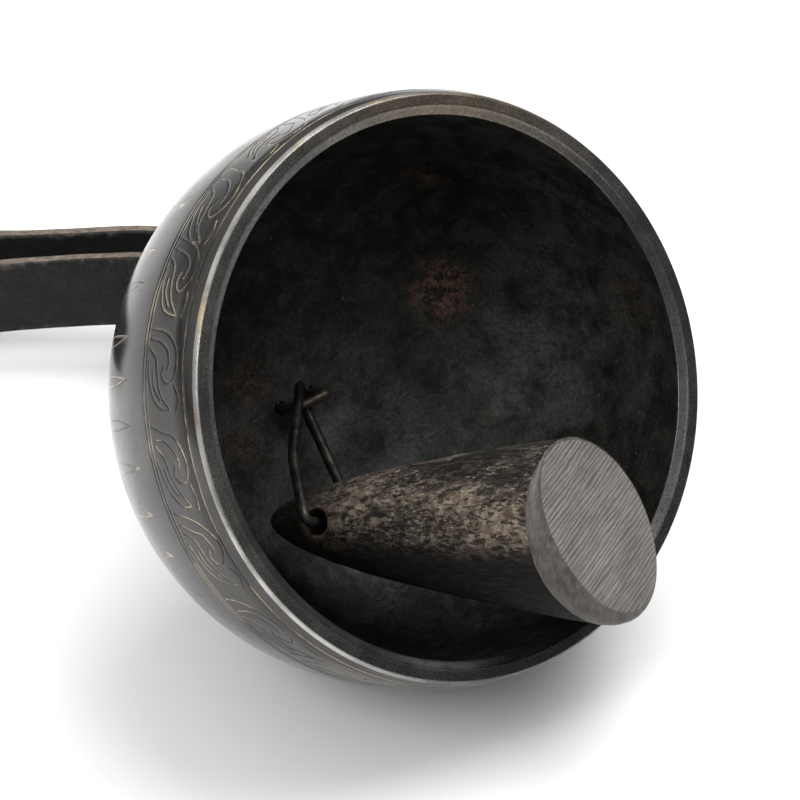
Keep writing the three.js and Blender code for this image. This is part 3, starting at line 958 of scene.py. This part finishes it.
def build_staple():
    side = STAPLE_HALF_SPACING
    butt = ARCH_HEIGHT + BUTT_SHARE * ARCH_STAND_OFF
    corners = [(side, 0, butt - TOUCH_GAP / 2), (side, 0, ARCH_HEIGHT), (-side, 0, ARCH_HEIGHT),
               (-side, 0, BAR_HEIGHT), (side, 0, BAR_HEIGHT), (side, 0, butt + TOUCH_GAP / 2)]
    piece = add_wire("crown_staple_wire", bell, bent_path(corners, STAPLE_BEND), STAPLE_WIRE, 3.0,
                     ((0.045, 0.036, 0.028), (0.13, 0.105, 0.082)))
    stand_for(piece, "bell", "crown_staple")


def horn_radius(from_tip):
    return CLAPPER_RADIUS * (max(from_tip, 0) / CLAPPER_LENGTH) ** CLAPPER_TAPER


def build_loop():
    bar = Vector((0, 0, BAR_HEIGHT))
    clear = STAPLE_WIRE + LOOP_WIRE + TOUCH_GAP
    front = bar + Vector((0, 0, clear)) + LOOP_FRONT
    over = bar + Vector((0, clear, 0)) + LOOP_OVER
    back = bar + Vector((0, 0, -clear)) + LOOP_BACK
    half = horn_radius(HOLE_FROM_TIP) + LOOP_LEG_CLEARANCE + LOOP_WIRE
    butt = hole_axis * TOUCH_GAP / 2
    near_end = CLAPPER_HOLE + hole_axis * half
    bow = near_end.lerp(front, 0.5) + LOOP_BOW
    corners = [CLAPPER_HOLE + butt, near_end, bow, front, over, back,
               CLAPPER_HOLE - hole_axis * half, CLAPPER_HOLE - butt]
    piece = add_wire("clapper_loop_wire", bell, bent_path(corners, LOOP_BEND), LOOP_WIRE, 8.0,
                     ((0.014, 0.013, 0.012), (0.055, 0.048, 0.042)), uneven=0.05)
    stand_for(piece, "loop", "clapper_loop")


def build_link():
    half = STRAP_WIDTH / 2 + STRAP_SLACK + LINK_WIRE
    butt = LINK_FAR_SIDE - LINK_BUTT_SHARE * LINK_REACH
    corners = [(0, butt - TOUCH_GAP / 2, half), (0, LINK_NEAR_SIDE, half),
               (0, LINK_NEAR_SIDE, -half), (0, LINK_FAR_SIDE, -half),
               (0, LINK_FAR_SIDE, half), (0, butt + TOUCH_GAP / 2, half)]
    piece = add_wire("strap_link_wire", on_link, bent_path(corners, LINK_BEND), LINK_WIRE, 5.0,
                     ((0.045, 0.036, 0.028), (0.12, 0.098, 0.078)))
    stand_for(piece, "link", "strap_link")


# ---- clapper

HORN_SIDES = 160
BEVEL_WIDTH = 3.4
BEVEL_LEAST = 0.35
BEVEL_RINGS = 4
EDGE_INSET = 0.25


def horn_skin(point):
    """How far the rough horn surface stands in from its smooth outline."""
    fibre = noise.fractal(Vector((point[0] * 0.45, point[1] * 0.45, point[2] * 0.09)), 1.0, 2.0, 5)
    lump = noise.noise(Vector(point) * 0.13)
    return 0.16 * fibre + 0.25 * abs(lump) + 0.12


def build_clapper():
    to_horn = horn_in_bell.to_3x3().transposed()
    normal = to_horn @ SAWN_NORMAL
    face_centre = Vector((0, 0, CLAPPER_LENGTH - HOLE_FROM_TIP))
    bevel_side = to_horn @ BEVEL_SIDE
    bevel_side = (bevel_side - normal * bevel_side.dot(normal)).normalized()
    angles = np.arange(HORN_SIDES) * (tau / HORN_SIDES)

    def outline(angle, from_tip, inset=0):
        radius = horn_radius(from_tip) - inset
        return Vector((radius * cos(angle), radius * sin(angle),
                       from_tip - HOLE_FROM_TIP))

    def on_side(angle, from_tip):
        point = outline(angle, from_tip)
        out = Vector((cos(angle), sin(angle), 0))
        return point - out * horn_skin(point) * min(1, from_tip / 4)

    def cut_length(angle):
        """Distance from the tip at which the side meets the sawn face."""
        low, high = 30.0, 90.0
        for _ in range(30):
            middle = (low + high) / 2
            if (outline(angle, middle) - face_centre).dot(normal) < 0:
                low = middle
            else:
                high = middle
        return low

    lengths = [cut_length(angle) for angle in angles]
    edges = [outline(angle, length, EDGE_INSET) for angle, length in zip(angles, lengths)]
    widths = []
    for edge in edges:
        across = (edge - face_centre).normalized().dot(bevel_side)
        widths.append(BEVEL_LEAST + BEVEL_WIDTH * max(0, across + 0.15) ** 1.3)

    points = []
    side_shares = np.concatenate([[0.004, 0.012, 0.03], np.linspace(0.055, 1, 74)]) ** 1.25
    for share in side_shares:
        for angle, length, width in zip(angles, lengths, widths):
            points.append(on_side(angle, share * (length - 0.75 * width)))
    rings = len(side_shares)
    for turn in np.arange(1, BEVEL_RINGS + 1) / BEVEL_RINGS:
        for angle, edge, length, width in zip(angles, edges, lengths, widths):
            start = on_side(angle, length - 0.75 * width)
            end = edge + (face_centre - edge).normalized() * width
            bulge = edge - (start + end) / 2
            points.append(start.lerp(end, turn) + bulge * (0.5 * sin(pi * turn)))
    face_shares = np.linspace(1, 0, 26)[1:-1]
    for share in face_shares:
        for edge, width in zip(edges, widths):
            rim_point = edge + (face_centre - edge).normalized() * width
            point = face_centre.lerp(rim_point, share)
            saw = 0.05 * noise.noise(Vector((point[0] * 0.4, point[1] * 2.2, 5)))
            points.append(point + normal * saw)
    total = rings + BEVEL_RINGS + len(face_shares)
    faces = [list(range(HORN_SIDES))[::-1]]
    slots = [0]
    for r in range(total - 1):
        faces += join_rings(r * HORN_SIDES, HORN_SIDES, (r + 1) * HORN_SIDES, HORN_SIDES)
        slot = 0 if r < rings - 1 else 2 if r < rings + BEVEL_RINGS - 1 else 1
        slots += [slot] * HORN_SIDES
    centre = len(points)
    points.append(face_centre)
    last = (total - 1) * HORN_SIDES
    for k in range(HORN_SIDES):
        faces.append([last + k, last + (k + 1) % HORN_SIDES, centre])
        slots.append(1)
    piece = make_piece("horn_clapper", points, faces, on_horn,
                       [horn_side(), horn_sawn(), horn_bevel()], slots)
    reach = horn_radius(HOLE_FROM_TIP)
    profile = [(0, -reach - 4), (HOLE_RADIUS + 2.0, -reach - 4), (HOLE_RADIUS + 0.7, -reach + 0.1),
               (HOLE_RADIUS + 0.2, -reach + 0.9), (HOLE_RADIUS, -reach + 2),
               (HOLE_RADIUS, reach - 2), (HOLE_RADIUS + 0.2, reach - 0.9),
               (HOLE_RADIUS + 0.7, reach - 0.1), (HOLE_RADIUS + 2.0, reach + 4), (0, reach + 4)]
    place = on_horn @ Matrix.Rotation(pi / 2, 4, "Y")
    cut_with(piece, [hole_cutter(profile, place)])
    piece.data.polygons.foreach_set("use_smooth", np.ones(len(piece.data.polygons), bool))
    stand_for(piece, "clapper", "clapper")


# ---- strap

FOLD_RADIUS = LINK_WIRE + TOUCH_GAP + STRAP_THICKNESS / 2
LAP_SHIFT = STRAP_THICKNESS + TOUCH_GAP
OPENING_END = 44
HAND_START = 62
HAND_END = 104
LAP_FADE_END = 36
CORNER = 0.55
THINNED = 0.97  # share of the thickness that the uneven leather keeps


def smoothstep(value, low, high):
    t = min(max((value - low) / (high - low), 0), 1)
    return t * t * (3 - 2 * t)


def middle_line(along):
    """(x, y, heading) of the line midway between the strap's two strands."""
    if along <= STRAP_STRAIGHT:
        return 0.0, along, 0.0
    turn = min((along - STRAP_STRAIGHT) / STRAP_BEND_RADIUS, STRAP_BEND_TURN)
    rest = max(along - STRAP_STRAIGHT - STRAP_BEND_RADIUS * STRAP_BEND_TURN, 0)
    x = -STRAP_BEND_RADIUS * (1 - cos(turn)) - rest * sin(turn)
    y = STRAP_STRAIGHT + STRAP_BEND_RADIUS * sin(turn) + rest * cos(turn)
    return x, y, turn


def half_gap(along):
    opening = smoothstep(along, LAP_END, OPENING_END) * (OPEN_HALF_GAP - FOLD_RADIUS)
    hand = smoothstep(along, HAND_START, HAND_END) * (HAND_HALF_GAP - OPEN_HALF_GAP)
    return FOLD_RADIUS + opening + hand


def beside(along, offset):
    x, y, heading = middle_line(along)
    return x - offset * cos(heading), y - offset * sin(heading)


def strip_line():
    """The strap's centre line from its inner lapped end, round the link, out and back."""
    inner = [beside(a, half_gap(a)) for a in np.linspace(LAP_END, 2, 24)]
    fold = [(FOLD_RADIUS * cos(a), FOLD_RADIUS * sin(a))
            for a in np.linspace(pi, tau, 24)]
    outward = [beside(a, -half_gap(a)) for a in np.linspace(2, STRAP_REACH, 150)]
    x, y, heading = middle_line(STRAP_REACH)
    far_turn = [(x + HAND_HALF_GAP * cos(heading + a), y + HAND_HALF_GAP * sin(heading + a))
                for a in np.linspace(0, pi, 40)[1:-1]]
    back = []
    for a in np.linspace(STRAP_REACH, LAP_START, 150):
        lapped = LAP_SHIFT * (1 - smoothstep(a, LAP_END + 2, LAP_FADE_END))
        back.append(beside(a, half_gap(a) + lapped))
    return resampled(np.array([*inner, *fold, *outward, *far_turn, *back]), 0.7)


def strap_section():
    """(through the thickness, across the width, corner share, is edge) round one section."""
    half, wide = STRAP_THICKNESS / 2, STRAP_WIDTH / 2
    points = []
    corner = [(half - CORNER * (1 - cos(a)), wide - CORNER * (1 - sin(a)))
              for a in np.linspace(0, pi / 2, 5)[1:]]
    for side in (-1, 1):
        for z in np.linspace(-wide + CORNER, wide - CORNER, 19):
            points.append((side * half, -side * z, float(abs(z) > wide - 1.3), False))
        points += [(side * x, -side * z, 1.0, False) for x, z in corner]
        points.append((0.0, -side * (wide + 0.05), 0.0, True))
        points += [(-side * x, -side * z, 1.0, False) for x, z in corner[::-1]]
    return points


def build_strap():
    line = strip_line()
    runs = np.gradient(line, axis=0)
    runs /= np.linalg.norm(runs, axis=1)[:, None]
    section = strap_section()
    count = len(section)
    points, corner, slots, faces = [], [], [], []
    for i, ((x, y), (run_x, run_y)) in enumerate(zip(line, runs)):
        for through, across, at_corner, _ in section:
            wobble = 0.09 * noise.noise(Vector((i * 0.06, across * 0.12, 3)))
            if abs(across) > STRAP_WIDTH / 2 - 1:
                across += 0.14 * noise.noise(Vector((i * 0.09, copysign(4, across), 7))) - 0.08
            offset = through * THINNED + wobble * copysign(1, through) * 0.4
            points.append((x - run_y * offset, y + run_x * offset, across))
            corner.append(at_corner)
    for i in range(len(line) - 1):
        for k in range(count):
            following = (k + 1) % count
            a, b = i * count, (i + 1) * count
            faces.append([a + following, a + k, b + k, b + following])
            slots.append(1 if section[k][3] or section[following][3] else 0)
    last = (len(line) - 1) * count
    faces.append(list(range(count)))
    faces.append([last + k for k in range(count)][::-1])
    slots += [1, 1]
    piece = make_piece("leather_strap", points, faces, on_strap,
                       [leather_grain(), leather_edge()], slots)
    carry(piece, "corner", corner)
    stand_for(piece, "strap", "strap")


# ---- rivet and burr

LAP_HALF = STRAP_THICKNESS + TOUCH_GAP / 2


def on_lap():
    """The rivet's frame: +Z out through the lap, the origin midway between its layers."""
    along = (LAP_START + LAP_END) / 2
    x, y = beside(along, half_gap(along) + LAP_SHIFT / 2)
    return (on_strap @ Matrix.Translation((x * MM, y * MM, 0))
            @ Matrix.Rotation(-pi / 2, 4, "Y"))


def build_rivet():
    head_face = LAP_HALF + TOUCH_GAP
    shank_end = -(LAP_HALF + 2 * TOUCH_GAP + BURR_THICKNESS)
    profile = [(0, shank_end), (0.7 * RIVET_SHANK, shank_end), (RIVET_SHANK, shank_end + 0.3),
               (RIVET_SHANK, head_face - 0.3), (RIVET_SHANK + 0.2, head_face),
               (RIVET_HEAD - 0.15, head_face)]
    for turn in np.linspace(0, pi / 2, 12):
        share = cos(turn) ** 0.55
        height = head_face + 0.12 + (RIVET_HEAD_THICKNESS - 0.12) * sin(turn)
        profile.append((RIVET_HEAD * share if share > 0.02 else 0, height))
    points, faces = turned(profile)
    dented = []
    for point in points:
        dent = 0.06 * noise.noise(Vector(point) * 0.9) if point[2] > head_face + 0.2 else 0
        dented.append((point[0], point[1], point[2] - abs(dent)))
    piece = make_piece("copper_rivet", dented, faces, on_lap(), [hammered_copper("copper_rivet")])
    stand_for(piece, "strap", "strap_rivet")


def build_burr():
    top = -(LAP_HALF + TOUCH_GAP)
    bottom = top - BURR_THICKNESS
    bore = RIVET_SHANK + TOUCH_GAP
    soft = 0.18
    profile = [(bore + soft, bottom), (BURR_RADIUS - soft, bottom),
               (BURR_RADIUS - 0.05, bottom + 0.06), (BURR_RADIUS, bottom + soft),
               (BURR_RADIUS, top - soft), (BURR_RADIUS - 0.05, top - 0.06),
               (BURR_RADIUS - soft, top), (bore + soft, top),
               (bore, top - soft), (bore, bottom + soft)]
    points, faces = turned(profile)
    faces += join_rings((len(profile) - 1) * ROUND, ROUND, 0, ROUND)
    piece = make_piece("burr_washer", points, faces, on_lap(), [hammered_copper("burr_washer")])
    stand_for(piece, "strap", "rivet_burr")


# ---- floor and light


def build_floor():
    reach = 2500
    points = [(-reach, -reach, 0), (reach, -reach, 0), (reach, reach, 0), (-reach, reach, 0)]
    floor = make_piece("floor", points, [[0, 1, 2, 3]], Matrix.Identity(4), [floor_paper()])
    settle(floor)


def add_softbox(name, direction, distance, size, power):
    """A rectangular area light that faces the bowl from the given direction; metres, watts."""
    light = bpy.data.lights.new(name, "AREA")
    light.shape = "RECTANGLE"
    light.size, light.size_y = size
    light.energy = power
    away = Vector(direction).normalized()
    lamp = bpy.data.objects.new(name, light)
    lamp.rotation_mode = "QUATERNION"
    lamp.rotation_quaternion = away.to_track_quat("Z", "Y")
    lamp.location = rim_centre + away * distance
    bpy.context.scene.collection.objects.link(lamp)


ROOM_LEAN = -0.45  # how far the room's brighter side leans to the left
ROOM_DIM = 0.16
ROOM_BRIGHT = 1.0


def light_room():
    """A soft room, brighter overhead and to the left, with a small and a large softbox."""
    world = bpy.data.worlds.new("room")
    world.use_nodes = True
    n = Nodes(world.node_tree)
    background = n.tree.nodes["Background"]
    way = n.parts(n.node("ShaderNodeTexCoord", {}).outputs["Generated"])
    leftward = n.sum(n.both(way[0], ROOM_LEAN), way[2])
    n.feed(background.inputs["Strength"], n.step(leftward, -0.1, 0.9, ROOM_DIM, ROOM_BRIGHT))
    background.inputs["Color"].default_value = (1, 1, 1, 1)
    bpy.context.scene.world = world
    add_softbox("left_box", (-0.55, -0.55, 0.72), 1.1, (0.3, 0.5), 3.2)
    add_softbox("top_box", (0.35, 0.3, 1.0), 1.3, (1.2, 1.0), 19)


build_floor()
build_bowl()
build_staple()
build_loop()
build_clapper()
build_link()
build_strap()
build_rivet()
build_burr()
light_room()
bpy.context.scene.view_settings.view_transform = "Standard"
